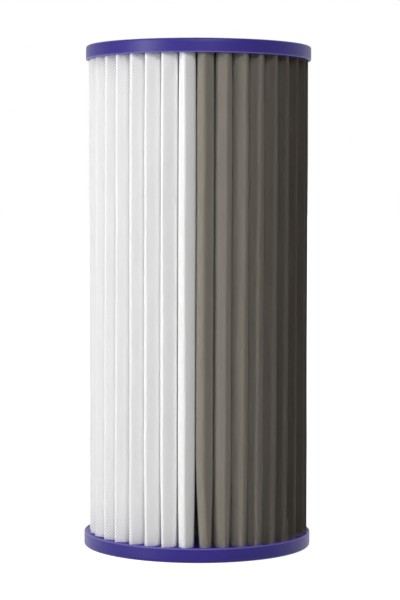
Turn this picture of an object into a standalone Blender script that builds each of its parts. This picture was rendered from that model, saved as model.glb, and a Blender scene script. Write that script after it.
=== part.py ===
"""Pleated sediment filter cartridge, standing on its bottom end cap.

Units are metres and +Z is up. The origin is at the centre of the bottom face.
The front faces -Y. There the clean half of the media, at -X, meets the soiled
half, at +X.
"""

from math import asin, atan2, cos, pi, radians, sin

import bmesh
import bpy

# Overall size
CARTRIDGE_LENGTH = 0.2500
CAP_DIAMETER = 0.1134

# Gap kept between two pieces that touch on the real cartridge
SEAT_GAP = 0.0003

# End caps, cast from plastisol around the ends of the core and the media
CAP_HEIGHT = 0.0070
CAP_FLOOR = 0.0056
CAP_RIM_WALL = 0.0011
CAP_EDGE_RADIUS = 0.0012
CAP_LIP_RADIUS = 0.0004
BORE_DIAMETER = 0.0270
BORE_EDGE_RADIUS = 0.0010
COLLAR_WALL = 0.0012
COLLAR_DROP = 0.0004
CAP_SEGMENTS = 72
ROUND_STEPS = 3

# Core tube, moulded with windows between its rings and ribs
CORE_WALL = 0.0025
CORE_RIBS = 8
CORE_RIB_WIDTH = 0.0045
CORE_RING_HEIGHT = 0.0050
WINDOW_HEIGHT = 0.0135
FACETS_PER_WINDOW = 2

# Pleated media, one folded sheet closed into a ring
PLEAT_COUNT = 36
SHEET_THICKNESS = 0.0006
NOSE_BEND_RADIUS = 0.0008
NOSE_BEND_SWING = 0.0002
SHOULDER_BEND_RADIUS = 0.0040
SHOULDER_DEPTH = 0.0055
VALLEY_GAP = 0.0006
ROOT_BEND_RADIUS = 0.0006
NOSE_STEPS = 3
SHOULDER_STEPS = 2
ROOT_STEPS = 3

# The pleats aren't quite even: each nose sways sideways, leans between its two
# ends, and is a little sharper or blunter than the next. The shoulders follow by a share
FIRST_PLEAT_ANGLE = radians(4.0)
NOSE_OFFSET = -0.0006
SHOULDER_FOLLOW = 0.1
SWAY = 0.00106
SWAY_WAVES = 5
SWAY_PHASE = radians(273)
RIPPLE = 0.0004
RIPPLE_WAVES = 14
RIPPLE_PHASE = radians(136)
LEAN = 0.0013
LEAN_OFFSET = -0.0006
LEAN_WAVES = 3
LEAN_PHASE = radians(45)
NOSE_BEND_WAVES = 9

# Towards the foot the pleats on the clean side are drawn in
DRAW_IN = 0.0014

# The pleats stand apart where the caps hold their ends and press together from here in
END_VALLEY_GAP = 0.0016
END_STRETCH = 0.0450

# The first soiled pleat, at the front, spreads away from the clean half at its foot
FOOT_SPREAD = 0.0014

# The front faces -Y
FRONT_ANGLE = -pi / 2

# Sizes that follow
CAP_RADIUS = CAP_DIAMETER / 2
BORE_RADIUS = BORE_DIAMETER / 2
COLLAR_RADIUS = BORE_RADIUS + COLLAR_WALL
CORE_INNER_RADIUS = COLLAR_RADIUS + SEAT_GAP
CORE_OUTER_RADIUS = CORE_INNER_RADIUS + CORE_WALL
POCKET_RADIUS = CAP_RADIUS - CAP_RIM_WALL
MEDIA_OUTER_RADIUS = POCKET_RADIUS - SEAT_GAP
MEDIA_INNER_RADIUS = CORE_OUTER_RADIUS + SEAT_GAP
SEAT_BOTTOM = CAP_FLOOR + SEAT_GAP
SEAT_TOP = CARTRIDGE_LENGTH - SEAT_BOTTOM
PITCH = 2 * pi / PLEAT_COUNT

PLASTISOL_COLOUR = "4a3a98"
CORE_COLOUR = "f0f0ee"
CLEAN_COLOUR = "f4f4f3"
SOILED_COLOUR = "787068"


def linear_colour(hex_code):
    """Turn an sRGB hex code into a linear RGBA colour."""
    channels = [int(hex_code[i:i + 2], 16) / 255 for i in (0, 2, 4)]
    linear = [c / 12.92 if c <= 0.04045 else ((c + 0.055) / 1.055) ** 2.4 for c in channels]
    return (*linear, 1.0)


def make_material(name, hex_code, roughness):
    """Make a plain Principled material."""
    material = bpy.data.materials.new(name)
    material.use_nodes = True
    shader = material.node_tree.nodes["Principled BSDF"]
    shader.inputs["Base Color"].default_value = linear_colour(hex_code)
    shader.inputs["Roughness"].default_value = roughness
    return material


def add_object(name, shape, materials):
    """Turn a bmesh into a named object, shaded smooth but for its sharp edges."""
    bmesh.ops.recalc_face_normals(shape, faces=shape.faces)
    mesh = bpy.data.meshes.new(name)
    shape.to_mesh(mesh)
    shape.free()
    for material in materials:
        mesh.materials.append(material)
    mesh.shade_smooth()
    mesh.set_sharp_from_angle(angle=radians(40))
    thing = bpy.data.objects.new(name, mesh)
    bpy.context.scene.collection.objects.link(thing)
    return thing


def rounded_corner(centre, radius, start, steps=ROUND_STEPS):
    """Return points on a quarter circle that runs anticlockwise from the angle start."""
    angles = [start + pi / 2 * k / steps for k in range(steps + 1)]
    return [(centre[0] + radius * cos(a), centre[1] + radius * sin(a)) for a in angles]


def cap_profile():
    """Half section of an end cap, outer face down, as (radius, height) points."""
    collar_top = CAP_HEIGHT - COLLAR_DROP
    bore_edge = (BORE_RADIUS + BORE_EDGE_RADIUS, BORE_EDGE_RADIUS)
    outer_edge = (CAP_RADIUS - CAP_EDGE_RADIUS, CAP_EDGE_RADIUS)
    lip_height = CAP_HEIGHT - CAP_LIP_RADIUS
    profile = rounded_corner(bore_edge, BORE_EDGE_RADIUS, pi)
    profile += rounded_corner(outer_edge, CAP_EDGE_RADIUS, -pi / 2)
    profile += rounded_corner((CAP_RADIUS - CAP_LIP_RADIUS, lip_height), CAP_LIP_RADIUS, 0)
    profile += rounded_corner((POCKET_RADIUS + CAP_LIP_RADIUS, lip_height), CAP_LIP_RADIUS, pi / 2)
    profile.append((POCKET_RADIUS, CAP_FLOOR))
    profile.append((COLLAR_RADIUS, CAP_FLOOR))
    profile.append((COLLAR_RADIUS, collar_top))
    profile.append((BORE_RADIUS, collar_top))
    return profile


def turned_solid(name, profile, segments, materials):
    """Spin a closed (radius, height) outline once around the Z axis."""
    shape = bmesh.new()
    points = [shape.verts.new((radius, 0, height)) for radius, height in profile]
    edges = [shape.edges.new((a, b)) for a, b in zip(points, points[1:] + points[:1])]
    bmesh.ops.spin(
        shape,
        geom=points + edges,
        cent=(0, 0, 0),
        axis=(0, 0, 1),
        angle=2 * pi,
        steps=segments,
        use_merge=True,
    )
    bmesh.ops.remove_doubles(shape, verts=shape.verts, dist=1e-6)
    return add_object(name, shape, materials)


def add_end_caps():
    """Add both end caps: one shape, used upright below and turned over above."""
    plastisol = make_material("violet_plastisol", PLASTISOL_COLOUR, 0.42)
    bottom = turned_solid("bottom_end_cap", cap_profile(), CAP_SEGMENTS, [plastisol])
    top = bpy.data.objects.new("top_end_cap", bottom.data)
    top.location = (0, 0, CARTRIDGE_LENGTH)
    top.rotation_euler = (pi, 0, 0)
    bpy.context.scene.collection.objects.link(top)


def core_columns():
    """Angles of the core's upright lines, and whether windows follow each of them."""
    rib_angle = CORE_RIB_WIDTH / CORE_OUTER_RADIUS
    window_angle = 2 * pi / CORE_RIBS - rib_angle
    columns = []
    for rib in range(CORE_RIBS):
        start = 2 * pi * rib / CORE_RIBS - rib_angle / 2
        columns.append((start, False))
        for facet in range(FACETS_PER_WINDOW):
            columns.append((start + rib_angle + window_angle * facet / FACETS_PER_WINDOW, True))
    return columns


def core_rows():
    """Heights of the core's level lines, and whether windows follow each of them."""
    pitch = WINDOW_HEIGHT + CORE_RING_HEIGHT
    length = SEAT_TOP - SEAT_BOTTOM
    count = int((length - CORE_RING_HEIGHT) / pitch)
    first = SEAT_BOTTOM + (length - count * pitch + CORE_RING_HEIGHT) / 2
    rows = [(SEAT_BOTTOM, False)]
    for k in range(count):
        rows.append((first + k * pitch, True))
        rows.append((first + k * pitch + WINDOW_HEIGHT, False))
    rows.append((SEAT_TOP, False))
    return rows


def add_core_tube():
    """Add the core: a tube whose wall is open wherever a column and a row both have windows."""
    columns = core_columns()
    rows = core_rows()
    count = len(columns)
    shape = bmesh.new()

    def ring(radius, height):
        return [shape.verts.new((radius * cos(a), radius * sin(a), height)) for a, _ in columns]

    outer = [ring(CORE_OUTER_RADIUS, height) for height, _ in rows]
    inner = [ring(CORE_INNER_RADIUS, height) for height, _ in rows]

    def is_open(row, column):
        inside = 0 <= row < len(rows) - 1
        return inside and rows[row][1] and columns[column % count][1]

    def is_solid(row, column):
        return 0 <= row < len(rows) - 1 and not is_open(row, column)

    for row in range(len(rows)):
        for column in range(count):
            following = (column + 1) % count
            if is_solid(row, column):
                for skin in (outer, inner):
                    shape.faces.new(
                        (skin[row][column], skin[row][following], skin[row + 1][following], skin[row + 1][column])
                    )
            if is_solid(row, column) != is_solid(row - 1, column):
                shape.faces.new(
                    (outer[row][column], outer[row][following], inner[row][following], inner[row][column])
                )
            inside = row < len(rows) - 1
            if inside and is_solid(row, column) != is_solid(row, column - 1):
                shape.faces.new(
                    (outer[row][column], outer[row + 1][column], inner[row + 1][column], inner[row][column])
                )
    loose = [vert for vert in shape.verts if not vert.link_faces]
    bmesh.ops.delete(shape, geom=loose, context="VERTS")
    core_plastic = make_material("white_core_plastic", CORE_COLOUR, 0.45)
    add_object("core_tube", shape, [core_plastic])


def rise(height):
    """Share of the way up the media, from 0 at its foot to 1 at its head."""
    return (height - SEAT_BOTTOM) / (SEAT_TOP - SEAT_BOTTOM)


def sway(pleat, height):
    """Sideways shift of a pleat along the media's outer circle, at one height."""
    turn = PITCH * pleat
    shift = SWAY * cos(SWAY_WAVES * turn + SWAY_PHASE)
    shift += RIPPLE * cos(RIPPLE_WAVES * turn + RIPPLE_PHASE)
    lean = LEAN_OFFSET + LEAN * cos(LEAN_WAVES * turn + LEAN_PHASE)
    return shift + lean * (1 - rise(height))


def foot_spread(pleat, height):
    """How far a pleat's left side gives way to the right, at one height."""
    if pleat > 0:
        return 0.0
    return FOOT_SPREAD * max(0.0, 1 - (height - SEAT_BOTTOM) / END_STRETCH)


def valley_gap(height):
    """Gap between the shoulders of two neighbouring pleats, at one height."""
    from_end = min(height - SEAT_BOTTOM, SEAT_TOP - height)
    return VALLEY_GAP + (END_VALLEY_GAP - VALLEY_GAP) * max(0.0, 1 - from_end / END_STRETCH)


def pleat_bends(pleat, height):
    """The bends of one pleat at one height: its two shoulders with the nose between, and its root.

    A bend is the x and y of its centre and its radius, which is negative where the
    sheet turns clockwise. The shoulders round the pleat out until it almost meets the next.
    """
    middle = FRONT_ANGLE + FIRST_PLEAT_ANGLE + PITCH * pleat
    shift = sway(pleat, height)
    spread = foot_spread(pleat, height)
    nose_radius = NOSE_BEND_RADIUS + NOSE_BEND_SWING * cos(NOSE_BEND_WAVES * PITCH * pleat)
    outer_radius = MEDIA_OUTER_RADIUS - DRAW_IN * (1 - rise(height)) * (1 - cos(middle)) / 2
    nose_distance = outer_radius - SHEET_THICKNESS / 2 - nose_radius
    shoulder_distance = outer_radius - SHOULDER_DEPTH
    half_width = shoulder_distance * sin(PITCH / 2) - (valley_gap(height) + SHEET_THICKNESS) / 2
    reach = half_width - SHOULDER_BEND_RADIUS
    root_distance = MEDIA_INNER_RADIUS + SHEET_THICKNESS / 2 + ROOT_BEND_RADIUS
    places = (
        (shoulder_distance, SHOULDER_FOLLOW * shift + spread - reach, SHOULDER_BEND_RADIUS),
        (nose_distance, NOSE_OFFSET + shift + spread, nose_radius),
        (shoulder_distance, SHOULDER_FOLLOW * shift + reach, SHOULDER_BEND_RADIUS),
        (root_distance, root_distance * PITCH / 2, -ROOT_BEND_RADIUS),
    )
    bends = []
    for distance, sideways, radius in places:
        angle = middle + sideways / distance
        bends.append((distance * cos(angle), distance * sin(angle), radius))
    return bends


def leg_heading(bend, following):
    """Heading of the straight stretch of sheet that touches two bends."""
    across = following[0] - bend[0]
    along = following[1] - bend[1]
    distance = (across ** 2 + along ** 2) ** 0.5
    return atan2(along, across) + asin((bend[2] - following[2]) / distance)


def sheet_line(height, offset):
    """Closed line of points along the folded sheet, offset outwards from its mid-line."""
    bends = [bend for pleat in range(PLEAT_COUNT) for bend in pleat_bends(pleat, height)]
    steps = (SHOULDER_STEPS, NOSE_STEPS, SHOULDER_STEPS, ROOT_STEPS)
    line = []
    for k, (x, y, radius) in enumerate(bends):
        arrival = leg_heading(bends[k - 1], bends[k])
        departure = leg_heading(bends[k], bends[(k + 1) % len(bends)])
        turn = (departure - arrival) % (2 * pi)
        if radius < 0:
            turn -= 2 * pi
        count = steps[k % len(steps)]
        for step in range(count + 1):
            angle = arrival + turn * step / count - pi / 2
            line.append((x + (radius + offset) * cos(angle), y + (radius + offset) * sin(angle)))
    return line


def add_pleated_media():
    """Add the media: the sheet's outer and inner lines at a few heights, joined by faces.

    The line starts at the first soiled pleat, so its first half is soiled. Both changes of
    colour lie in the middle of a root.
    """
    heights = (SEAT_BOTTOM, SEAT_BOTTOM + END_STRETCH, SEAT_TOP - END_STRETCH, SEAT_TOP)
    shape = bmesh.new()
    skins = []
    for offset in (SHEET_THICKNESS / 2, -SHEET_THICKNESS / 2):
        skin = []
        for height in heights:
            skin.append([shape.verts.new((x, y, height)) for x, y in sheet_line(height, offset)])
        skins.append(skin)
    outer, inner = skins
    count = len(outer[0])
    root_middle = ROOT_STEPS // 2 + 1
    for k in range(count):
        following = (k + 1) % count
        faces = []
        for skin in skins:
            for low, high in zip(skin, skin[1:]):
                faces.append(shape.faces.new((low[k], low[following], high[following], high[k])))
        for level in (0, -1):
            ends = (outer[level][k], outer[level][following], inner[level][following], inner[level][k])
            faces.append(shape.faces.new(ends))
        is_soiled = (k + root_middle) % count < count // 2
        for face in faces:
            face.material_index = 1 if is_soiled else 0
    clean = make_material("clean_polyester", CLEAN_COLOUR, 0.9)
    soiled = make_material("soiled_polyester", SOILED_COLOUR, 0.95)
    add_object("pleated_media", shape, [clean, soiled])


def main():
    """Clear the scene and build the cartridge."""
    for thing in list(bpy.data.objects):
        bpy.data.objects.remove(thing)
    add_end_caps()
    add_core_tube()
    add_pleated_media()


if __name__ == "__main__":
    main()
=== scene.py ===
"""Looks of the pleated sediment filter cartridge.

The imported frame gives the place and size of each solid. This script dresses
them: the two cast end caps, the folded media with its clean and its soiled
half, and the moulded core. It also sets the studio: floor, lamps and camera.
Units are metres, +Z is up and the front faces -Y.
"""

import logging
from dataclasses import dataclass
from enum import Enum
from math import asin, atan2, cos, exp, hypot, pi, radians, sin
from typing import Any, Optional

import bpy
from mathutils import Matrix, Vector, noise
from mathutils.kdtree import KDTree


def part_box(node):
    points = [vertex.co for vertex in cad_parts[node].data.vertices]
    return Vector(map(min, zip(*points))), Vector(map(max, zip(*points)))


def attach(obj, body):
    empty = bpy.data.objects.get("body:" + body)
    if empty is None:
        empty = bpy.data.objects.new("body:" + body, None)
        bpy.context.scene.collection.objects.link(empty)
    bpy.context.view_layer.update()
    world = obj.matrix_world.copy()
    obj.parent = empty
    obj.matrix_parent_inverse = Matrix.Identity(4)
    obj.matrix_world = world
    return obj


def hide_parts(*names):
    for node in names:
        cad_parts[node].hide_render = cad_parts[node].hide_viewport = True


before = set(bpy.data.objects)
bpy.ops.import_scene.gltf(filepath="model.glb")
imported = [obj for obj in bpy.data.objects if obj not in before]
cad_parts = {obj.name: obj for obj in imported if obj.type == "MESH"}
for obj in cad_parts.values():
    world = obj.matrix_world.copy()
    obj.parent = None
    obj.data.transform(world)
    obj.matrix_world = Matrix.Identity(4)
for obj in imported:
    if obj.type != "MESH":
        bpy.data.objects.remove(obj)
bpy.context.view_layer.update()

LOG = logging.getLogger("cartridge")
MILLIMETRE = 0.001
FRONT_ANGLE = -pi / 2
SHARP_ANGLE = radians(50)
WHITE = (1.0, 1.0, 1.0, 1.0)

Point = tuple[float, float]
Bend = tuple[float, float, float]
Tree = bpy.types.NodeTree
Socket = bpy.types.NodeSocket


def linear_colour(hex_code: str) -> tuple[float, float, float, float]:
    """Turn an sRGB hex code into a linear colour.

    Args:
        hex_code: six hex digits.

    Returns:
        Linear red, green, blue and an alpha of 1.
    """
    channels = [int(hex_code[i:i + 2], 16) / 255 for i in (0, 2, 4)]
    linear = [c / 12.92 if c <= 0.04045 else ((c + 0.055) / 1.055) ** 2.4 for c in channels]
    return (linear[0], linear[1], linear[2], 1.0)


def axis_distance(tree: Tree, split: bpy.types.Node) -> Socket:
    """Find the distance from the cartridge's axis.

    Args:
        tree: the material's nodes.
        split: the place in the object, split into X, Y and Z.

    Returns:
        The distance in metres.
    """
    level = add_node(tree, "CombineXYZ", inputs={0: split.outputs["X"], 1: split.outputs["Y"]})
    radius = add_node(tree, "VectorMath", {"operation": "LENGTH"}, {0: level.outputs["Vector"]})
    return radius.outputs["Value"]


def add_node(
    tree: Tree,
    kind: str,
    settings: Optional[dict[str, Any]] = None,
    inputs: Optional[dict[Any, Any]] = None,
) -> bpy.types.Node:
    """Add a node with its settings and its inputs.

    Args:
        tree: the node tree that gets the node.
        kind: the node's type, without the ShaderNode prefix.
        settings: the node's own properties.
        inputs: values or output sockets, by the input's name or number.

    Returns:
        The new node.
    """
    node = tree.nodes.new("ShaderNode" + kind)
    for name, value in (settings or {}).items():
        setattr(node, name, value)
    for name, value in (inputs or {}).items():
        if isinstance(value, Socket):
            tree.links.new(value, node.inputs[name])
        else:
            node.inputs[name].default_value = value
    return node


def new_material(name: str) -> tuple[bpy.types.Material, Tree, bpy.types.Node]:
    """Start a material.

    Args:
        name: the material's name.

    Returns:
        The material, its node tree and its Principled shader.
    """
    material = bpy.data.materials.new(name)
    material.use_nodes = True
    tree = material.node_tree
    return material, tree, tree.nodes["Principled BSDF"]


def new_piece(
    name: str,
    points: list[tuple[float, float, float]],
    faces: list[tuple[int, ...]],
    material: bpy.types.Material,
) -> bpy.types.Object:
    """Make a smooth-shaded mesh object.

    Args:
        name: the piece's name.
        points: its corners, in metres.
        faces: the corners of each face, by number.
        material: its finish.

    Returns:
        The new object.
    """
    mesh = bpy.data.meshes.new(name)
    mesh.from_pydata(points, [], faces)
    mesh.materials.append(material)
    mesh.validate()
    mesh.shade_smooth()
    mesh.set_sharp_from_angle(angle=SHARP_ANGLE)
    piece = bpy.data.objects.new(name, mesh)
    bpy.context.scene.collection.objects.link(piece)
    return piece


def smooth_step(low: float, high: float, value: float) -> float:
    """Rise smoothly from 0 at low to 1 at high."""
    share = min(1.0, max(0.0, (value - low) / (high - low)))
    return share * share * (3 - 2 * share)


class End(Enum):
    """The two ends of the cartridge."""

    BOTTOM = "bottom_end_cap"
    TOP = "top_end_cap"


class Wander(Enum):
    """The ways in which a fold wanders on its way up, each with its own seed."""

    INWARDS = 4.0
    NOSE = 1.5
    LEFT_SHOULDER = 21.0
    RIGHT_SHOULDER = 33.0


@dataclass(frozen=True)
class CastPlastisol:
    """Violet plastisol, poured warm and cured in a turned metal mould.

    The eye gets a deep, slightly milky violet with a satin skin: a broad soft
    highlight, faint level rings from the mould and a paler, thin edge, which is a painted
    highlight.
    """

    name: str = "cast_violet_plastisol"
    body_hex: str = "271878"
    mottle_hex: str = "1f126a"
    lip_highlight_hex: str = "7a6fba"
    # Skin
    roughness: float = 0.41
    roughness_swing: float = 0.06
    ior: float = 1.50
    specular: float = 0.30
    relief: float = 0.25
    relief_mm: float = 0.2
    mould_ring_mm: float = 1.1
    ring_share: float = 0.12
    lump_mm: float = 2.4
    # Mixing of the pigment
    mottle_mm: float = 9.0
    # Painted highlight along the lips of the rims
    lip_band_mm: float = 0.35
    lip_blend_mm: float = 0.4
    lip_highlight_strength: float = 0.5
    # Light inside the plastisol
    depth_weight: float = 0.08
    depth_mm: float = 0.6
    depth_rgb: tuple[float, float, float] = (1.0, 0.7, 1.6)

    def lip_highlight_share(self, tree: Tree, height: Socket, length: float, cap_height: float) -> Socket:
        """Find the thin lips of the rims, which get a paler colour as a painted highlight.

        Args:
            tree: the material's nodes.
            height: the height above the floor.
            length: the cartridge's length.
            cap_height: the height of a cap.

        Returns:
            How much of the pale colour, the painted highlight, shows.
        """
        lip = cap_height - self.lip_band_mm * MILLIMETRE
        blend = self.lip_blend_mm * MILLIMETRE
        share: Any = self.lip_highlight_strength
        for start, end in ((lip - blend, lip), (length - lip + blend, length - lip)):
            inside = add_node(
                tree,
                "MapRange",
                {"interpolation_type": "SMOOTHSTEP"},
                {"Value": height, "From Min": start, "From Max": end},
            )
            share = add_node(
                tree, "Math", {"operation": "MULTIPLY"}, {0: share, 1: inside.outputs["Result"]}
            ).outputs[0]
        return share

    def skin(self, tree: Tree, place: Socket, split: bpy.types.Node) -> Socket:
        """Raise lumps and the mould's level rings, drawn about twice as coarse as real to show.

        Args:
            tree: the material's nodes.
            place: the place in the object.
            split: the same place, split into X, Y and Z.

        Returns:
            The bumpy normal.
        """
        across = add_node(
            tree,
            "Math",
            {"operation": "ADD"},
            {0: split.outputs["Z"], 1: axis_distance(tree, split)},
        )
        phase = add_node(
            tree,
            "Math",
            {"operation": "MULTIPLY"},
            {0: across.outputs[0], 1: 2 * pi / (self.mould_ring_mm * MILLIMETRE)},
        )
        rings = add_node(tree, "Math", {"operation": "SINE"}, {0: phase.outputs[0]})
        lumps = add_node(
            tree,
            "TexNoise",
            inputs={"Vector": place, "Scale": 1 / (self.lump_mm * MILLIMETRE), "Detail": 2.0},
        )
        relief = add_node(
            tree,
            "Math",
            {"operation": "MULTIPLY_ADD"},
            {0: rings.outputs[0], 1: self.ring_share, 2: lumps.outputs["Fac"]},
        )
        bump = add_node(
            tree,
            "Bump",
            inputs={
                "Strength": self.relief,
                "Distance": self.relief_mm * MILLIMETRE,
                "Height": relief.outputs[0],
            },
        )
        return bump.outputs["Normal"]

    def build(self, length: float, cap_height: float) -> bpy.types.Material:
        """Build the material.

        Args:
            length: the cartridge's length.
            cap_height: the height of a cap.

        Returns:
            The finished material.
        """
        material, tree, shader = new_material(self.name)
        place = add_node(tree, "TexCoord").outputs["Object"]
        split = add_node(tree, "SeparateXYZ", inputs={0: place})

        # Cloudy mixing of the pigment, in patches of about a centimetre
        mottle = add_node(
            tree,
            "TexNoise",
            inputs={"Vector": place, "Scale": 1 / (self.mottle_mm * MILLIMETRE), "Detail": 3.0},
        )
        colour: Any = linear_colour(self.body_hex)
        # The pale lip colour is a painted highlight along the rims.
        for share, cover in (
            (mottle.outputs["Fac"], self.mottle_hex),
            (self.lip_highlight_share(tree, split.outputs["Z"], length, cap_height), self.lip_highlight_hex),
        ):
            colour = add_node(
                tree,
                "Mix",
                {"data_type": "RGBA"},
                {"Factor": share, "A": colour, "B": linear_colour(cover)},
            ).outputs["Result"]
        gloss = add_node(
            tree,
            "MapRange",
            inputs={
                "Value": mottle.outputs["Fac"],
                "To Min": self.roughness - self.roughness_swing,
                "To Max": self.roughness + self.roughness_swing,
            },
        )
        tree.links.new(colour, shader.inputs["Base Color"])
        tree.links.new(gloss.outputs["Result"], shader.inputs["Roughness"])
        tree.links.new(self.skin(tree, place, split), shader.inputs["Normal"])
        shader.inputs["IOR"].default_value = self.ior
        shader.inputs["Specular IOR Level"].default_value = self.specular
        shader.inputs["Subsurface Weight"].default_value = self.depth_weight
        shader.inputs["Subsurface Radius"].default_value = self.depth_rgb
        shader.inputs["Subsurface Scale"].default_value = self.depth_mm * MILLIMETRE
        return material


@dataclass(frozen=True)
class BondedPolyester:
    """Non-woven polyester, laid down as fibres and bonded by a diamond roller.

    The eye gets a soft matt sheet that lets some light through, with a fine
    diamond dimpling whose pits carry painted shade. One half is clean white. The other
    half carries fine grey-brown sediment, with painted light that makes it paler deep
    between the pleats and painted shade that darkens it towards +X.
    """

    name: str = "bonded_polyester"
    clean_hex: str = "f8f8f8"
    # Painted shade in the bond pits
    pit_shade_hex: str = "cfcfd4"
    soil_hex: str = "736f66"
    warm_soil_hex: str = "787269"
    # Painted light deep in the pleats, then painted shade towards +X
    deep_painted_light_hex: str = "96928a"
    side_shade_hex: str = "433d37"
    end_tint_hex: str = "cdc9e4"
    soiled_end_tint_hex: str = "6d6674"
    # Bond lines of the roller
    bond_mm: float = 1.5
    foot_cross_share: float = 0.15
    head_cross_share: float = 0.6
    press_from: float = -0.2
    press_full: float = 0.8
    plain_bonds_mm: float = 36.0
    middle_bonds: float = 0.2
    bond_fading: float = 1.8
    strong_bonds_share: float = 0.8
    faint_bonds_share: float = 0.2
    faint_bonds: float = 0.2
    # Fibres and their relief
    fibre_mm: float = 0.9
    fibre_tangle: float = 0.7
    relief: float = 0.5
    relief_mm: float = 0.12
    pit_depth: float = 0.8
    # Sediment, its painted light deep in the pleats, its painted shade towards +X, and its border
    streak_mm: float = 3.0
    streak_stretch: float = 0.06
    cloud_mm: float = 36.0
    cloudiness: float = 0.15
    pale_from_mm: float = 1.0
    pale_full_mm: float = 9.0
    side_shade_share: float = 0.25
    ragged_mm: float = 0.4
    edge_mm: float = 0.6
    # Violet tint on the sheet's last millimetres at both ends
    tint_reach_mm: float = 1.2
    tint_ragged_mm: float = 1.6
    tint_blend_mm: float = 3.4
    # Matt skin, and light inside the sheet
    roughness: float = 0.92
    specular: float = 0.10
    depth_weight: float = 1.0
    depth_mm: float = 3.0
    depth_rgb: tuple[float, float, float] = (1.0, 1.0, 1.0)

    def bond_lines(
        self, tree: Tree, layout: "Layout", split: bpy.types.Node, end_distance: Socket
    ) -> Socket:
        """Press the roller's bond lines, really about 0.9 mm apart, drawn coarser to show.

        One slant is pressed deeper at the foot, and both make dots at the head.
        They are plain to see at both ends and fade towards the middle, and they
        weaken towards the soiled half. Their pits get a darker colour as painted shade.

        Args:
            tree: the material's nodes.
            layout: the cartridge's sizes.
            split: the place in the object, split into X, Y and Z.
            end_distance: the distance from half height, up or down.

        Returns:
            How deep the sheet is pressed, and how much painted shade its pits get, from 0 to 1.
        """
        sheet = add_node(tree, "UVMap", {"uv_map": "sheet"}).outputs["UV"]
        along = add_node(tree, "SeparateXYZ", inputs={0: sheet})
        share_up = add_node(
            tree,
            "MapRange",
            inputs={
                "Value": split.outputs["Z"],
                "From Min": layout.seat_bottom,
                "From Max": layout.seat_top,
                "To Min": self.foot_cross_share,
                "To Max": self.head_cross_share,
            },
        )
        share_down = add_node(
            tree, "Math", {"operation": "SUBTRACT"}, {0: 1.0, 1: share_up.outputs["Result"]}
        )
        slants = []
        for sign, share in ((-1.0, share_down.outputs[0]), (1.0, share_up.outputs["Result"])):
            slanting = add_node(
                tree,
                "Math",
                {"operation": "MULTIPLY_ADD"},
                {0: along.outputs["X"], 1: sign, 2: along.outputs["Y"]},
            )
            phase = add_node(
                tree,
                "Math",
                {"operation": "MULTIPLY"},
                {0: slanting.outputs[0], 1: 2 * pi / (self.bond_mm * MILLIMETRE)},
            )
            wave = add_node(tree, "Math", {"operation": "COSINE"}, {0: phase.outputs[0]})
            pressed = add_node(
                tree, "Math", {"operation": "MULTIPLY"}, {0: wave.outputs[0], 1: share}
            )
            slants.append(pressed.outputs[0])
        diamonds = add_node(tree, "Math", {"operation": "ADD"}, {0: slants[0], 1: slants[1]})
        # The pits set both the relief and the painted shade in the hollows
        pits_and_shade = add_node(
            tree,
            "MapRange",
            {"interpolation_type": "SMOOTHSTEP"},
            {
                "Value": diamonds.outputs[0],
                "From Min": self.press_from,
                "From Max": self.press_full,
            },
        )
        near_end = add_node(
            tree,
            "MapRange",
            {"interpolation_type": "SMOOTHSTEP"},
            {
                "Value": end_distance,
                "From Min": layout.length / 2 - self.plain_bonds_mm * MILLIMETRE,
                "From Max": layout.length / 2 - layout.cap_height,
                "To Min": self.middle_bonds,
                "To Max": 1.0,
            },
        )
        fading = add_node(
            tree,
            "Math",
            {"operation": "POWER"},
            {0: near_end.outputs["Result"], 1: self.bond_fading},
        )
        # Depth and painted shade of the pits weaken towards the soiled half
        clean_side = add_node(
            tree,
            "MapRange",
            {"interpolation_type": "SMOOTHSTEP"},
            {
                "Value": split.outputs["X"],
                "From Min": -layout.media_outer_radius * self.strong_bonds_share,
                "From Max": -layout.media_outer_radius * self.faint_bonds_share,
                "To Min": 1.0,
                "To Max": self.faint_bonds,
            },
        )
        depth = pits_and_shade.outputs["Result"]
        for share in (fading.outputs[0], clean_side.outputs["Result"]):
            depth = add_node(
                tree, "Math", {"operation": "MULTIPLY"}, {0: depth, 1: share}
            ).outputs[0]
        return depth

    def sediment(
        self, tree: Tree, layout: "Layout", place: Socket, split: bpy.types.Node, clouds: Socket
    ) -> Socket:
        """Colour the sediment.

        It runs down the sheet in streaks. Deep in the pleats it is painted paler, as
        painted light where shade falls, and towards +X it is painted darker, as painted shade.

        Args:
            tree: the material's nodes.
            layout: the cartridge's sizes.
            place: the place in the object.
            split: the same place, split into X, Y and Z.
            clouds: slow cloudy noise.

        Returns:
            The colour.
        """
        stretched = add_node(
            tree,
            "VectorMath",
            {"operation": "MULTIPLY"},
            {0: place, 1: (1.0, 1.0, self.streak_stretch)},
        )
        streaks = add_node(
            tree,
            "TexNoise",
            inputs={
                "Vector": stretched.outputs["Vector"],
                "Scale": 1 / (self.streak_mm * MILLIMETRE),
                "Detail": 3.0,
            },
        )
        # Painted light: paler towards the pleats' roots, where shade falls between them
        depth = add_node(
            tree,
            "MapRange",
            {"interpolation_type": "SMOOTHSTEP"},
            {
                "Value": axis_distance(tree, split),
                "From Min": layout.media_outer_radius - self.pale_from_mm * MILLIMETRE,
                "From Max": layout.media_outer_radius - self.pale_full_mm * MILLIMETRE,
            },
        )
        cloudy_depth = add_node(
            tree,
            "Math",
            {"operation": "MULTIPLY_ADD", "use_clamp": True},
            {0: clouds, 1: self.cloudiness, 2: depth.outputs["Result"]},
        )
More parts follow.
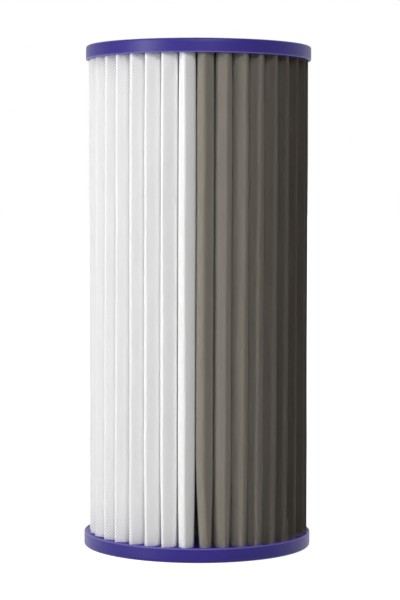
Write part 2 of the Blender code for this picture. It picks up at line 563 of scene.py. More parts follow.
        # Painted shade: darker towards +X, away from the left softbox
        around = add_node(
            tree,
            "MapRange",
            {"interpolation_type": "SMOOTHSTEP"},
            {
                "Value": split.outputs["X"],
                "From Min": layout.media_outer_radius * self.side_shade_share,
                "From Max": layout.media_outer_radius,
            },
        )
        colour: Any = linear_colour(self.soil_hex)
        for share, cover in (
            (streaks.outputs["Fac"], self.warm_soil_hex),
            (cloudy_depth.outputs[0], self.deep_painted_light_hex),
            (around.outputs["Result"], self.side_shade_hex),
        ):
            colour = add_node(
                tree,
                "Mix",
                {"data_type": "RGBA"},
                {"Factor": share, "A": colour, "B": linear_colour(cover)},
            ).outputs["Result"]
        return colour

    def soiled_share(self, tree: Tree, layout: "Layout", place: Socket, clouds: Socket) -> Socket:
        """Find the soiled half, which starts in the root between two pleats at the front.

        Args:
            tree: the material's nodes.
            layout: the cartridge's sizes.
            place: the place in the object.
            clouds: slow cloudy noise.

        Returns:
            0 on the clean half and 1 on the soiled one.
        """
        border = layout.first_pleat_angle - layout.pitch / 2
        side = add_node(
            tree,
            "VectorMath",
            {"operation": "DOT_PRODUCT"},
            {0: place, 1: (cos(border), sin(border), 0.0)},
        )
        ragged = add_node(
            tree,
            "Math",
            {"operation": "MULTIPLY_ADD"},
            {0: clouds, 1: self.ragged_mm * MILLIMETRE, 2: side.outputs["Value"]},
        )
        is_soiled = add_node(
            tree,
            "MapRange",
            {"interpolation_type": "SMOOTHSTEP"},
            {
                "Value": ragged.outputs[0],
                "From Min": (self.ragged_mm - self.edge_mm) / 2 * MILLIMETRE,
                "From Max": (self.ragged_mm + self.edge_mm) / 2 * MILLIMETRE,
            },
        )
        return is_soiled.outputs["Result"]

    def end_tint_share(
        self, tree: Tree, layout: "Layout", end_distance: Socket, fibres: Socket
    ) -> Socket:
        """Find the violet tint on the sheet's last few millimetres at both ends.

        Args:
            tree: the material's nodes.
            layout: the cartridge's sizes.
            end_distance: the distance from half height, up or down.
            fibres: fine noise.

        Returns:
            How much violet tint shows.
        """
        ragged_distance = add_node(
            tree,
            "Math",
            {"operation": "MULTIPLY_ADD"},
            {0: fibres, 1: self.tint_ragged_mm * MILLIMETRE, 2: end_distance},
        )
        start = layout.length / 2 - layout.cap_height - self.tint_reach_mm * MILLIMETRE
        tinted = add_node(
            tree,
            "MapRange",
            {"interpolation_type": "SMOOTHSTEP"},
            {
                "Value": ragged_distance.outputs[0],
                "From Min": start,
                "From Max": start + self.tint_blend_mm * MILLIMETRE,
            },
        )
        return tinted.outputs["Result"]

    def build(self, layout: "Layout") -> bpy.types.Material:
        """Build the material.

        Args:
            layout: the cartridge's sizes.

        Returns:
            The finished material.
        """
        material, tree, shader = new_material(self.name)
        place = add_node(tree, "TexCoord").outputs["Object"]
        split = add_node(tree, "SeparateXYZ", inputs={0: place})
        from_middle = add_node(
            tree, "Math", {"operation": "SUBTRACT"}, {0: split.outputs["Z"], 1: layout.length / 2}
        )
        end_distance = add_node(
            tree, "Math", {"operation": "ABSOLUTE"}, {0: from_middle.outputs[0]}
        ).outputs[0]

        # Tangle of fibres, which are some hundredths of a millimetre thick, drawn coarser to show
        fibres = add_node(
            tree,
            "TexNoise",
            inputs={
                "Vector": place,
                "Scale": 1 / (self.fibre_mm * MILLIMETRE),
                "Detail": 4.0,
                "Roughness": self.fibre_tangle,
            },
        ).outputs["Fac"]

        # Slow unevenness of the soil, a few centimetres across
        clouds = add_node(
            tree,
            "TexNoise",
            inputs={"Vector": place, "Scale": 1 / (self.cloud_mm * MILLIMETRE), "Detail": 4.0},
        ).outputs["Fac"]

        pits_and_shade = self.bond_lines(tree, layout, split, end_distance)
        is_soiled = self.soiled_share(tree, layout, place, clouds)
        tint = add_node(
            tree,
            "Mix",
            {"data_type": "RGBA"},
            {
                "Factor": is_soiled,
                "A": linear_colour(self.end_tint_hex),
                "B": linear_colour(self.soiled_end_tint_hex),
            },
        )
        colour: Any = linear_colour(self.clean_hex)
        # Painted shade: the bond pits get a darker colour.
        for share, cover in (
            (pits_and_shade, linear_colour(self.pit_shade_hex)),
            (is_soiled, self.sediment(tree, layout, place, split, clouds)),
            (self.end_tint_share(tree, layout, end_distance, fibres), tint.outputs["Result"]),
        ):
            colour = add_node(
                tree, "Mix", {"data_type": "RGBA"}, {"Factor": share, "A": colour, "B": cover}
            ).outputs["Result"]
        relief = add_node(
            tree,
            "Math",
            {"operation": "MULTIPLY_ADD"},
            {0: pits_and_shade, 1: -self.pit_depth, 2: fibres},
        )
        bump = add_node(
            tree,
            "Bump",
            inputs={
                "Strength": self.relief,
                "Distance": self.relief_mm * MILLIMETRE,
                "Height": relief.outputs[0],
            },
        )
        tree.links.new(colour, shader.inputs["Base Color"])
        tree.links.new(bump.outputs["Normal"], shader.inputs["Normal"])
        shader.inputs["Roughness"].default_value = self.roughness
        shader.inputs["Specular IOR Level"].default_value = self.specular
        shader.inputs["Subsurface Weight"].default_value = self.depth_weight
        shader.inputs["Subsurface Radius"].default_value = self.depth_rgb
        shader.inputs["Subsurface Scale"].default_value = self.depth_mm * MILLIMETRE
        return material


@dataclass(frozen=True)
class MouldedPolypropylene:
    """Natural polypropylene, injection moulded.

    The eye gets a milky white, slightly waxy plastic with a soft highlight.
    """

    name: str = "natural_polypropylene"
    body_hex: str = "ecebe6"
    shade_hex: str = "dddcd5"
    roughness: float = 0.42
    ior: float = 1.49
    flow_mm: float = 14.0
    skin_mm: float = 1.1
    relief: float = 0.15
    relief_mm: float = 0.1
    depth_weight: float = 0.15
    depth_mm: float = 1.0

    def build(self) -> bpy.types.Material:
        """Build the material.

        Returns:
            The finished material.
        """
        material, tree, shader = new_material(self.name)
        place = add_node(tree, "TexCoord").outputs["Object"]

        # Cloudy flow of the melt, a centimetre or two across
        flow = add_node(
            tree,
            "TexNoise",
            inputs={"Vector": place, "Scale": 1 / (self.flow_mm * MILLIMETRE), "Detail": 2.0},
        )
        colour = add_node(
            tree,
            "Mix",
            {"data_type": "RGBA"},
            {
                "Factor": flow.outputs["Fac"],
                "A": linear_colour(self.body_hex),
                "B": linear_colour(self.shade_hex),
            },
        )

        # Grain of the mould's surface, about 0.1 mm, drawn coarser to show
        skin = add_node(
            tree,
            "TexNoise",
            inputs={"Vector": place, "Scale": 1 / (self.skin_mm * MILLIMETRE), "Detail": 2.0},
        )
        bump = add_node(
            tree,
            "Bump",
            inputs={
                "Strength": self.relief,
                "Distance": self.relief_mm * MILLIMETRE,
                "Height": skin.outputs["Fac"],
            },
        )
        tree.links.new(colour.outputs["Result"], shader.inputs["Base Color"])
        tree.links.new(bump.outputs["Normal"], shader.inputs["Normal"])
        shader.inputs["Roughness"].default_value = self.roughness
        shader.inputs["IOR"].default_value = self.ior
        shader.inputs["Subsurface Weight"].default_value = self.depth_weight
        shader.inputs["Subsurface Scale"].default_value = self.depth_mm * MILLIMETRE
        return material


@dataclass(frozen=True)
class Layout:
    """Sizes that the pieces share, from the frame and from the part's own values."""

    length: float
    cap_radius: float
    cap_height: float
    seat_bottom: float
    seat_top: float
    core_outer_radius: float
    rim_wall: float = 0.0011
    seat_gap: float = 0.0003
    collar_wall: float = 0.0012
    core_wall: float = 0.0025
    pleat_count: int = 36
    first_pleat_angle: float = radians(4.0)

    @classmethod
    def from_frame(cls) -> "Layout":
        """Read the solids' sizes from the frame.

        Returns:
            The sizes that the pieces share.
        """
        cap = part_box("bottom_end_cap")[1]
        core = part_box("core_tube")
        return cls(
            length=float(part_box("top_end_cap")[1][2]),
            cap_radius=float(cap[0]),
            cap_height=float(cap[2]),
            seat_bottom=float(core[0][2]),
            seat_top=float(core[1][2]),
            core_outer_radius=float(core[1][0]),
        )

    @property
    def core_inner_radius(self) -> float:
        """Inner radius of the core."""
        return self.core_outer_radius - self.core_wall

    @property
    def pocket_radius(self) -> float:
        """Radius of a cap's inner surface, inside its rim."""
        return self.cap_radius - self.rim_wall

    @property
    def media_outer_radius(self) -> float:
        """Radius that the pleats' noses reach."""
        return self.pocket_radius - self.seat_gap

    @property
    def media_inner_radius(self) -> float:
        """Radius that the pleats' roots reach."""
        return self.core_outer_radius + self.seat_gap

    @property
    def pitch(self) -> float:
        """Angle from one pleat to the next."""
        return 2 * pi / self.pleat_count


@dataclass
class PleatedMedia:
    """One non-woven sheet, folded into pleats and closed into a ring.

    It follows the same bends as the solid it replaces, with finer bends, legs
    that bulge a little and noses that wander a little on their way up.
    Lengths are in metres.
    """

    layout: Layout
    finish: BondedPolyester
    # Sheet and bends
    sheet_thickness: float = 0.0006
    nose_bend_radius: float = 0.0008
    nose_bend_swing: float = 0.0002
    nose_bend_waves: int = 9
    shoulder_bend_radius: float = 0.0040
    shoulder_depth: float = 0.0055
    shoulder_follow: float = 0.1
    root_bend_radius: float = 0.0006
    # Gaps between the shoulders, opening over a stretch at each end
    valley_gap: float = 0.00025
    foot_valley_gap: float = 0.0016
    head_valley_gap: float = 0.0008
    end_stretch: float = 0.0450
    end_power: float = 1.6
    # Noses to one side, in waves around the ring
    nose_offset: float = -0.0006
    sway: float = 0.00106
    sway_waves: int = 5
    sway_phase: float = radians(273)
    ripple: float = 0.0004
    ripple_waves: int = 14
    ripple_phase: float = radians(136)
    # Lean that grows towards the foot
    lean: float = 0.0013
    lean_offset: float = -0.0006
    lean_waves: int = 3
    lean_phase: float = radians(45)
    draw_in: float = 0.0014
    # Wedge at the foot between the clean and the soiled half
    foot_spread: float = 0.0014
    foot_spread_share: float = 0.86
    spread_full: float = -0.35
    spread_none: float = 1.1
    # Small wandering and bulging
    nose_wander: float = 0.00030
    shoulder_wander: float = 0.00005
    drift_step: float = 7.3
    drift_per_metre: float = 20.0
    bulge: float = 0.00010
    bulge_step: float = 4.9
    bulge_per_metre: float = 14.0
    bulge_seed: float = 12.0
    full_bulge_span: float = 0.02
    # Fineness of the mesh
    shoulder_steps: int = 6
    nose_steps: int = 6
    root_steps: int = 4
    flank_steps: int = 2
    leg_steps: int = 6
    level_count: int = 30
    level_easing: float = 0.6

    def rise(self, height: float) -> float:
        """Share of the way up the media."""
        layout = self.layout
        return (height - layout.seat_bottom) / (layout.seat_top - layout.seat_bottom)

    def side_shift(self, pleat: int, height: float) -> float:
        """Sideways shift of a pleat along the outer circle.

        Args:
            pleat: the pleat's number, 0 at the first soiled one.
            height: the height above the floor.

        Returns:
            The shift in metres.
        """
        turn = self.layout.pitch * pleat
        shift = self.sway * cos(self.sway_waves * turn + self.sway_phase)
        shift += self.ripple * cos(self.ripple_waves * turn + self.ripple_phase)
        lean = self.lean_offset + self.lean * cos(self.lean_waves * turn + self.lean_phase)
        return shift + lean * (1 - self.rise(height))

    def spread(self, pleat: int, height: float) -> float:
        """How far a pleat's left side gives way to the right at its foot.

        Args:
            pleat: the pleat's number. Only the first soiled one gives way.
            height: the height above the floor.

        Returns:
            The shift in metres.
        """
        if pleat > 0:
            return 0.0
        above_foot = (height - self.layout.seat_bottom) / self.end_stretch
        left_over = 1 - smooth_step(self.spread_full, self.spread_none, above_foot)
        return self.foot_spread * left_over / self.foot_spread_share

    def gap(self, height: float) -> float:
        """Gap between the shoulders of two neighbouring pleats.

        Args:
            height: the height above the floor.

        Returns:
            The gap in metres, wider near both ends.
        """
        near_foot = max(0.0, 1 - (height - self.layout.seat_bottom) / self.end_stretch)
        near_head = max(0.0, 1 - (self.layout.seat_top - height) / self.end_stretch)
        opened = (self.foot_valley_gap - self.valley_gap) * near_foot ** self.end_power
        opened += (self.head_valley_gap - self.valley_gap) * near_head ** self.end_power
        return self.valley_gap + opened

    def drift(self, pleat: int, height: float, way: Wander) -> float:
        """Wandering of a fold on its way up, from about -0.6 to 0.6."""
        spot = (pleat * self.drift_step, height * self.drift_per_metre, way.value)
        return noise.noise(Vector(spot))

    def pleat_bends(self, pleat: int, height: float) -> list[Bend]:
        """Bends of one pleat: left shoulder, nose, right shoulder and root.

        Args:
            pleat: the pleat's number.
            height: the height above the floor.

        Returns:
            For each bend its centre and its radius, negative where the sheet turns clockwise.
        """
        layout = self.layout
        half = self.sheet_thickness / 2
        middle = FRONT_ANGLE + layout.first_pleat_angle + layout.pitch * pleat
        shift = self.side_shift(pleat, height)
        spread = self.spread(pleat, height)
        nose_radius = self.nose_bend_radius
        nose_radius += self.nose_bend_swing * cos(self.nose_bend_waves * layout.pitch * pleat)
        outer_radius = layout.media_outer_radius
        outer_radius -= self.draw_in * (1 - self.rise(height)) * (1 - cos(middle)) / 2
        outer_radius -= self.nose_wander * abs(self.drift(pleat, height, Wander.INWARDS))
        nose_distance = outer_radius - half - nose_radius
        shoulder_distance = outer_radius - self.shoulder_depth
        reach = shoulder_distance * sin(layout.pitch / 2) - self.gap(height) / 2 - half
        reach -= self.shoulder_bend_radius
        root_distance = layout.media_inner_radius + half + self.root_bend_radius
        followed = self.shoulder_follow * shift
        left = followed + spread - reach
        left += self.shoulder_wander * self.drift(pleat, height, Wander.LEFT_SHOULDER)
        nose = self.nose_offset + shift + spread
        nose += self.nose_wander * self.drift(pleat, height, Wander.NOSE)
        right = followed + reach
        right += self.shoulder_wander * self.drift(pleat, height, Wander.RIGHT_SHOULDER)
        places = (
            (shoulder_distance, left, self.shoulder_bend_radius),
            (nose_distance, nose, nose_radius),
            (shoulder_distance, right, self.shoulder_bend_radius),
            (root_distance, root_distance * layout.pitch / 2, -self.root_bend_radius),
        )
        bends = []
        for distance, sideways, radius in places:
            angle = middle + sideways / distance
            bends.append((distance * cos(angle), distance * sin(angle), radius))
        return bends

    @staticmethod
    def leg_heading(bend: Bend, following: Bend) -> float:
        """Heading of the straight stretch of sheet that touches two bends.

        Args:
            bend: the bend that the stretch leaves.
            following: the bend that it reaches.

        Returns:
            The angle from +X.
        """
        across = following[0] - bend[0]
        along = following[1] - bend[1]
        return atan2(along, across) + asin((bend[2] - following[2]) / hypot(across, along))

    def leg(self, start: Point, end: Point, number: int, steps: int, height: float) -> list[Point]:
        """Points between a leg's two ends, bulging gently to one side.

        Args:
            start: where the leg starts.
            end: where it ends.
            number: the leg's number.
            steps: how many stretches it is cut into.
            height: the height above the floor.

        Returns:
            The points, without the two ends.
        """
        across = end[0] - start[0]
        along = end[1] - start[1]
        span = hypot(across, along)
        spot = (number * self.bulge_step, height * self.bulge_per_metre, self.bulge_seed)
        push = self.bulge * min(1.0, span / self.full_bulge_span) * noise.noise(Vector(spot))
        points = []
        for step in range(1, steps):
            share = step / steps
            off = push * sin(pi * share)
            points.append((
                start[0] + across * share - along / span * off,
                start[1] + along * share + across / span * off,
            ))
        return points

    def line(self, height: float, offset: float) -> list[Point]:
        """Closed line of points along the folded sheet.

        Args:
            height: the height above the floor.
            offset: distance outwards from the sheet's mid-line.

        Returns:
            The points, anticlockwise seen from above.
        """
        pleats = range(self.layout.pleat_count)
        bends = [bend for pleat in pleats for bend in self.pleat_bends(pleat, height)]
        bend_steps = (self.shoulder_steps, self.nose_steps, self.shoulder_steps, self.root_steps)
        leg_steps = (self.flank_steps, self.flank_steps, self.leg_steps, self.leg_steps)
        arcs = []
        for k, (x, y, radius) in enumerate(bends):
            arrival = self.leg_heading(bends[k - 1], bends[k])
            departure = self.leg_heading(bends[k], bends[(k + 1) % len(bends)])
            turn = (departure - arrival) % (2 * pi)
            if radius < 0:
                turn -= 2 * pi
            steps = bend_steps[k % 4]
            reach = radius + offset
            arc = []
            for step in range(steps + 1):
                angle = arrival + turn * step / steps - pi / 2
                arc.append((x + reach * cos(angle), y + reach * sin(angle)))
            arcs.append(arc)
        line = []
        for k, arc in enumerate(arcs):
            line += arc
            line += self.leg(arc[-1], arcs[(k + 1) % len(arcs)][0], k, leg_steps[k % 4], height)
        return line

    def levels(self) -> list[float]:
        """Space the mesh's level lines, closer together near both ends.

        Returns:
            Their heights, upwards.
        """
        layout = self.layout
        span = layout.seat_top - layout.seat_bottom
        heights = []
        for k in range(self.level_count):
            share = k / (self.level_count - 1)
            eased = share - self.level_easing * sin(2 * pi * share) / (2 * pi)
            heights.append(layout.seat_bottom + span * eased)
        return heights

    def travelled(self) -> list[float]:
        """Measure along the folded line, all the way round.

        Returns:
            Each point's distance from the first one, and last the whole length.
        """
        line = self.line(self.layout.length / 2, 0.0)
        distances = [0.0]
        for k, here in enumerate(line):
            ahead = line[(k + 1) % len(line)]
            distances.append(distances[-1] + hypot(ahead[0] - here[0], ahead[1] - here[1]))
        return distances

    @staticmethod
    def faces(
        heights: list[float], travelled: list[float]
    ) -> tuple[list[tuple[int, ...]], list[Point]]:
        """Make the sheet's faces and lay their corners out flat.

        Args:
            heights: the heights of the level lines.
            travelled: the distances along the folded line.

        Returns:
            The faces, and each of their corners' places on the unfolded sheet, in metres.
        """
        rows, count = len(heights), len(travelled) - 1
        inner, last = rows * count, (rows - 1) * count
        faces: list[tuple[int, ...]] = []
        flat: list[Point] = []
        for k in range(count):
            after = (k + 1) % count
            left, right = travelled[k], travelled[k + 1]
            for row in range(rows - 1):
                low, high = row * count, (row + 1) * count
                bottom, top = heights[row], heights[row + 1]
                outside = (low + k, low + after, high + after, high + k)
                faces += [outside, tuple(inner + corner for corner in reversed(outside))]
                corners = [(left, bottom), (right, bottom), (right, top), (left, top)]
                flat += corners + corners[::-1]
            faces.append((inner + k, inner + after, after, k))
            faces.append((last + k, last + after, inner + last + after, inner + last + k))
            for level in (heights[0], heights[-1]):
                flat += [(left, level), (right, level)] * 2
        return faces, flat

    def build(self) -> bpy.types.Object:
        """Build the sheet, dress it and put it in the place of its solid.

        Returns:
            The sheet.
        """
        heights = self.levels()
        travelled = self.travelled()
        points: list[tuple[float, float, float]] = []
        for offset in (self.sheet_thickness / 2, -self.sheet_thickness / 2):
            for height in heights:
                points += [(x, y, height) for x, y in self.line(height, offset)]
        faces, flat = self.faces(heights, travelled)
        media = new_piece("folded_media", points, faces, self.finish.build(self.layout))
        layer = media.data.uv_layers.new(name="sheet")
        layer.data.foreach_set("uv", [value for place in flat for value in place])
        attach(media, "root")
        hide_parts("pleated_media")
        return media


@dataclass
class EndCap:
    """One cast end cap: rim, outer face, bore and the cured pool around the pleats' ends.

    Lengths are in metres.
    """

    layout: Layout
    end: End
    media: PleatedMedia
    material: bpy.types.Material
    # Section
    edge_radius: float = 0.0012
    lip_radius: float = 0.0004
    bore_edge_radius: float = 0.0010
    collar_drop: float = 0.0006
    # Cured pool, which creeps up the sheet and the walls
    floor: float = 0.0056
    pool_rise: float = 0.0005
    lump_height: float = 0.00012
    lumps_per_metre: float = 260.0
    lump_seed: float = 3.0
    meniscus: float = 0.0007
    wall_meniscus: float = 0.0004
    meniscus_reach: float = 0.0007
    pool_limit: float = 0.00015
    # Fineness of the mesh
    segments: int = 600
    pool_rings: int = 34
    face_rings: int = 14
    bore_shares: tuple[float, ...] = (0.7, 0.45)
    wall_shares: tuple[float, ...] = (0.35, 0.5, 0.65, 0.8)
    round_steps: int = 5
    line_samples: int = 4

    def corner(self, centre: Point, radius: float, start: float) -> list[Point]:
        """Points on a quarter circle that runs anticlockwise from an angle."""
        angles = [start + pi / 2 * k / self.round_steps for k in range(self.round_steps + 1)]
        return [(centre[0] + radius * cos(a), centre[1] + radius * sin(a)) for a in angles]

    def shell(self) -> list[Point]:
        """Draw half the section, down the bore, across the outer face and up to the rim's lip.

        Returns:
            Radius and height of each point.
        """
        layout = self.layout
        bore = layout.core_inner_radius - layout.seat_gap - layout.collar_wall
        edge = self.bore_edge_radius
        lip = self.lip_radius
        top = layout.cap_height
        section = [(bore, top - self.collar_drop)]
        section += [(bore, top * share) for share in self.bore_shares]
        section += self.corner((bore + edge, edge), edge, pi)
        inner = bore + edge
        face = layout.cap_radius - self.edge_radius
        for ring in range(1, self.face_rings):
            section.append((inner + (face - inner) * ring / self.face_rings, 0.0))
        section += self.corner((face, self.edge_radius), self.edge_radius, -pi / 2)
        section += [(layout.cap_radius, top * share) for share in self.wall_shares]
        section += self.corner((layout.cap_radius - lip, top - lip), lip, 0)
        section += self.corner((layout.pocket_radius + lip, top - lip), lip, pi / 2)
        return section

    def pool_height(self, radius: float, nearness: float, angle: float) -> float:
        """Height of the cured pool between the pleats.

        Args:
            radius: distance from the cartridge's axis.
            nearness: distance to the sheet's mid-line.
            angle: angle around the axis.

        Returns:
            The height above the cap's outer face.
        """
        layout = self.layout
        level = self.floor + self.pool_rise
        scale = radius * self.lumps_per_metre
        spot = (scale * cos(angle), scale * sin(angle), self.lump_seed)
        level += self.lump_height * noise.noise(Vector(spot))
        gap = max(0.0, nearness - self.media.sheet_thickness / 2)
        level += self.meniscus * exp(-gap / self.meniscus_reach)
        wall = min(layout.pocket_radius - radius, radius - layout.core_outer_radius)
        level += self.wall_meniscus * exp(-max(0.0, wall) / self.meniscus_reach)
        return min(level, layout.cap_height - self.pool_limit)

    def fold_tree(self) -> KDTree:
        """Gather points along the sheet's mid-line at this end.

        Returns:
            The tree that finds the nearest of them.
        """
        layout = self.layout
        foot = layout.seat_bottom if self.end is End.BOTTOM else layout.seat_top
        line = self.media.line(foot, 0.0)
        tree = KDTree(len(line) * self.line_samples)
        for k, (x, y) in enumerate(line):
            ahead = line[(k + 1) % len(line)]
            for part in range(self.line_samples):
                share = part / self.line_samples
                spot = (x + (ahead[0] - x) * share, y + (ahead[1] - y) * share, 0.0)
                tree.insert(spot, k * self.line_samples + part)
        tree.balance()
        return tree

    def build(self) -> bpy.types.Object:
        """Build the cap, dress it and put it in the place of its solid.

        Returns:
            The cap.
        """
        layout = self.layout
        tree = self.fold_tree()
        shell = self.shell()
        collar = layout.core_inner_radius - layout.seat_gap
        pool = []
        for ring in range(self.pool_rings + 1):
            share = ring / self.pool_rings
            pool.append(layout.pocket_radius - (layout.pocket_radius - collar) * share)
        points = []
        for ring in range(len(shell) + len(pool)):
            for segment in range(self.segments):
                angle = 2 * pi * segment / self.segments
                if ring < len(shell):
                    radius, height = shell[ring]
                else:
                    radius = pool[ring - len(shell)]
                    nearness = tree.find((radius * cos(angle), radius * sin(angle), 0.0))[2]
                    height = self.pool_height(radius, nearness, angle)
                points.append((radius * cos(angle), radius * sin(angle), height))
        count = len(shell) + len(pool)
        faces = []
        for ring in range(count):
            near, far = ring * self.segments, (ring + 1) % count * self.segments
            for segment in range(self.segments):
                after = (segment + 1) % self.segments
                face = (near + segment, near + after, far + after, far + segment)
                faces.append(face if self.end is End.TOP else face[::-1])
        if self.end is End.TOP:
            points = [(x, y, layout.length - z) for x, y, z in points]
        cap = new_piece("cast_" + self.end.value, points, faces, self.material)
        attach(cap, "root")
        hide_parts(self.end.value)
        return cap


@dataclass
class CoreTube:
    """The moulded core: a round tube of rings and ribs with windows between them.

    Lengths are in metres.
    """

    layout: Layout
    finish: MouldedPolypropylene
    ribs: int = 8
    rib_width: float = 0.0045
    ring_height: float = 0.0050
    window_height: float = 0.0135
    rib_facets: int = 2
    window_facets: int = 6
    edge_radius: float = 0.0003
    edge_steps: int = 2

    def columns(self) -> list[tuple[float, bool]]:
        """Place the mesh's upright lines.

        Returns:
            Their angles, and whether windows follow each of them.
        """
        rib = self.rib_width / self.layout.core_outer_radius
        window = 2 * pi / self.ribs - rib
        columns = []
        for number in range(self.ribs):
            start = 2 * pi * number / self.ribs - rib / 2
            for width, facets, is_open in (
                (rib, self.rib_facets, False),
                (window, self.window_facets, True),
            ):
                columns += [(start + width * k / facets, is_open) for k in range(facets)]
                start += width
        return columns

    def rows(self) -> list[tuple[float, bool]]:
        """Place the mesh's level lines.

        Returns:
            Their heights, and whether windows follow each of them.
        """
        layout = self.layout
        pitch = self.window_height + self.ring_height
        length = layout.seat_top - layout.seat_bottom
        count = int((length - self.ring_height) / pitch)
        first = layout.seat_bottom + (length - count * pitch + self.ring_height) / 2
        rows = [(layout.seat_bottom, False)]
        for k in range(count):
            rows.append((first + k * pitch, True))
            rows.append((first + k * pitch + self.window_height, False))
        rows.append((layout.seat_top, False))
        return rows

    def build(self) -> bpy.types.Object:
        """Build the core, dress it and put it in the place of its solid.

        Returns:
            The core.
        """
        columns, rows = self.columns(), self.rows()
        wide, tall = len(columns), len(rows)
        points = []
        for radius in (self.layout.core_outer_radius, self.layout.core_inner_radius):
            for height, _ in rows:
                points += [(radius * cos(a), radius * sin(a), height) for a, _ in columns]
        inner = wide * tall

        def is_solid(row: int, column: int) -> bool:
            """Whether the wall is there between two level and two upright lines."""
            inside = 0 <= row < tall - 1
            return inside and not (rows[row][1] and columns[column % wide][1])

        faces = []
        for row in range(tall):
            for column in range(wide):
                after = (column + 1) % wide
                here, beside = row * wide + column, row * wide + after
                above, diagonal = here + wide, beside + wide
                solid = is_solid(row, column)
                if solid:
                    faces.append((here, beside, diagonal, above))
                    faces.append((inner + above, inner + diagonal, inner + beside, inner + here))
                if solid != is_solid(row - 1, column):
                    face = (inner + here, inner + beside, beside, here)
                    faces.append(face if solid else face[::-1])
                if row < tall - 1 and solid != is_solid(row, column - 1):
                    face = (here, above, inner + above, inner + here)
                    faces.append(face if solid else face[::-1])
        used = sorted({corner for face in faces for corner in face})
        number = {old: new for new, old in enumerate(used)}
        faces = [tuple(number[corner] for corner in face) for face in faces]
        core = new_piece("moulded_core", [points[old] for old in used], faces, self.finish.build())
        bevel = core.modifiers.new("soft_edges", "BEVEL")
        bevel.width = self.edge_radius
        bevel.segments = self.edge_steps
        bevel.limit_method = "ANGLE"
        bevel.angle_limit = SHARP_ANGLE
        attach(core, "root")
        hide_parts("core_tube")
        return core


@dataclass(frozen=True)
class Softbox:
    """A soft lamp that faces the cartridge.

    Its azimuth is in degrees from the front, negative to the left, and its power
    in watts. Its distance from the axis, its height above the floor and its
    width and height are in metres.
    """

    name: str
    azimuth: float
    distance: float
    height: float
    size: Point
    power: float

    def build(self, aim_height: float) -> None:
        """Add the lamp.

        Args:
            aim_height: the height on the cartridge's axis that it faces.
        """
        lamp = bpy.data.lights.new(self.name, "AREA")
        lamp.shape = "RECTANGLE"
        lamp.size, lamp.size_y = self.size
        lamp.energy = self.power
        holder = bpy.data.objects.new(self.name, lamp)
        turn = radians(self.azimuth)
        holder.location = (self.distance * sin(turn), -self.distance * cos(turn), self.height)
        target = Vector((0.0, 0.0, aim_height))
        holder.rotation_euler = (target - holder.location).to_track_quat("-Z", "Y").to_euler()
        holder.visible_camera = False
        bpy.context.scene.collection.objects.link(holder)


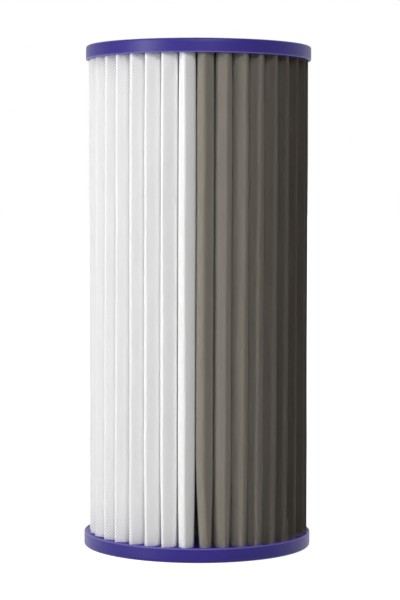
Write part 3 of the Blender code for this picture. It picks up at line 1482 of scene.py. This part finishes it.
@dataclass
class Studio:
    """White floor and backdrop, soft lamps and the camera.

    A narrow tall softbox stands at the left, and wide weaker ones hang higher at
    the front and behind.
    """

    camera_distance: float = 0.975
    camera_side: float = 0.00096
    camera_height: float = 0.1707
    camera_roll: float = -0.0036
    focal_mm: float = 116.0
    sensor_mm: float = 36.0
    view_limit: float = 200.0
    picture_height_px: float = 600.0
    horizon_px: float = 204.2
    floor_size: float = 60.0
    floor_drop: float = 0.0002
    paper_hex: str = "cfcfcf"
    paper_roughness: float = 0.9
    near_glow: float = 0.8
    glow_from: float = 0.1
    glow_full: float = 0.9
    ambient: float = 0.25
    aim_height: float = 0.125
    softboxes: tuple[Softbox, ...] = (
        Softbox("left_softbox", -54.0, 1.1, 0.20, (0.32, 1.3), 12.8),
        Softbox("front_softbox", 8.0, 1.5, 1.00, (0.9, 0.6), 13.8),
        Softbox("back_softbox", -175.0, 1.2, 1.70, (1.0, 0.8), 12.0),
    )

    def add_camera(self) -> None:
        """Add the camera: level, with the picture shifted down to the cartridge."""
        camera = bpy.data.cameras.new("camera")
        camera.lens = self.focal_mm
        camera.sensor_width = self.sensor_mm
        camera.shift_y = -(self.picture_height_px / 2 - self.horizon_px) / self.picture_height_px
        camera.clip_end = self.view_limit
        holder = bpy.data.objects.new("camera", camera)
        holder.location = (self.camera_side, -self.camera_distance, self.camera_height)
        holder.rotation_euler = (pi / 2, self.camera_roll, 0.0)
        bpy.context.scene.collection.objects.link(holder)
        bpy.context.scene.camera = holder

    @staticmethod
    def seen_share(tree: Tree) -> Socket:
        """Tell the rays that show a surface from those that only carry its light.

        Args:
            tree: the nodes of the world or of a material.

        Returns:
            1 where it is seen, mirrored or seen through something, and 0 otherwise.
        """
        path = add_node(tree, "LightPath")
        share = path.outputs["Is Camera Ray"]
        for kind in ("Is Glossy Ray", "Is Transmission Ray"):
            share = add_node(
                tree, "Math", {"operation": "MAXIMUM"}, {0: share, 1: path.outputs[kind]}
            ).outputs[0]
        return share

    def add_world(self) -> None:
        """Add the world: pure white where it is seen or mirrored, weak where it only lights."""
        world = bpy.data.worlds.new("studio")
        world.use_nodes = True
        bpy.context.scene.world = world
        tree = world.node_tree
        background = tree.nodes["Background"]
        background.inputs["Color"].default_value = WHITE
        strength = add_node(
            tree,
            "MapRange",
            inputs={"Value": self.seen_share(tree), "To Min": self.ambient, "To Max": 1.0},
        )
        tree.links.new(strength.outputs["Result"], background.inputs["Strength"])

    def add_floor(self) -> None:
        """Add the floor: white paper that keeps the cartridge's soft shadow."""
        material, tree, shader = new_material("white_paper")
        place = add_node(tree, "TexCoord").outputs["Object"]
        away = add_node(tree, "VectorMath", {"operation": "LENGTH"}, {0: place})
        glow = add_node(
            tree,
            "MapRange",
            {"interpolation_type": "SMOOTHSTEP"},
            {
                "Value": away.outputs["Value"],
                "From Min": self.glow_from,
                "From Max": self.glow_full,
                "To Min": self.near_glow,
                "To Max": 1.0,
            },
        )
        strength = add_node(
            tree,
            "Math",
            {"operation": "MULTIPLY"},
            {0: glow.outputs["Result"], 1: self.seen_share(tree)},
        )
        shader.inputs["Base Color"].default_value = linear_colour(self.paper_hex)
        shader.inputs["Roughness"].default_value = self.paper_roughness
        shader.inputs["Emission Color"].default_value = WHITE
        tree.links.new(strength.outputs[0], shader.inputs["Emission Strength"])
        half = self.floor_size / 2
        sides = ((-half, -half), (half, -half), (half, half), (-half, half))
        corners = [(x, y, -self.floor_drop) for x, y in sides]
        floor = new_piece("floor", corners, [(0, 1, 2, 3)], material)

    def build(self) -> None:
        """Set the studio up."""
        self.add_camera()
        for softbox in self.softboxes:
            softbox.build(self.aim_height)
        self.add_world()
        self.add_floor()
        bpy.context.scene.view_settings.view_transform = "Standard"


def main() -> None:
    """Dress the cartridge and set up the studio."""
    logging.basicConfig(level=logging.INFO, format="%(name)s: %(message)s")
    layout = Layout.from_frame()
    Studio().build()
    LOG.info("studio: camera, lamps, world and floor")
    media = PleatedMedia(layout, BondedPolyester())
    plastisol = CastPlastisol().build(layout.length, layout.cap_height)
    caps = [EndCap(layout, end, media, plastisol) for end in End]
    for part in (media, *caps, CoreTube(layout, MouldedPolypropylene())):
        piece = part.build()
        LOG.info("%s: %d faces", piece.name, len(piece.data.polygons))


if __name__ == "__main__":
    main()
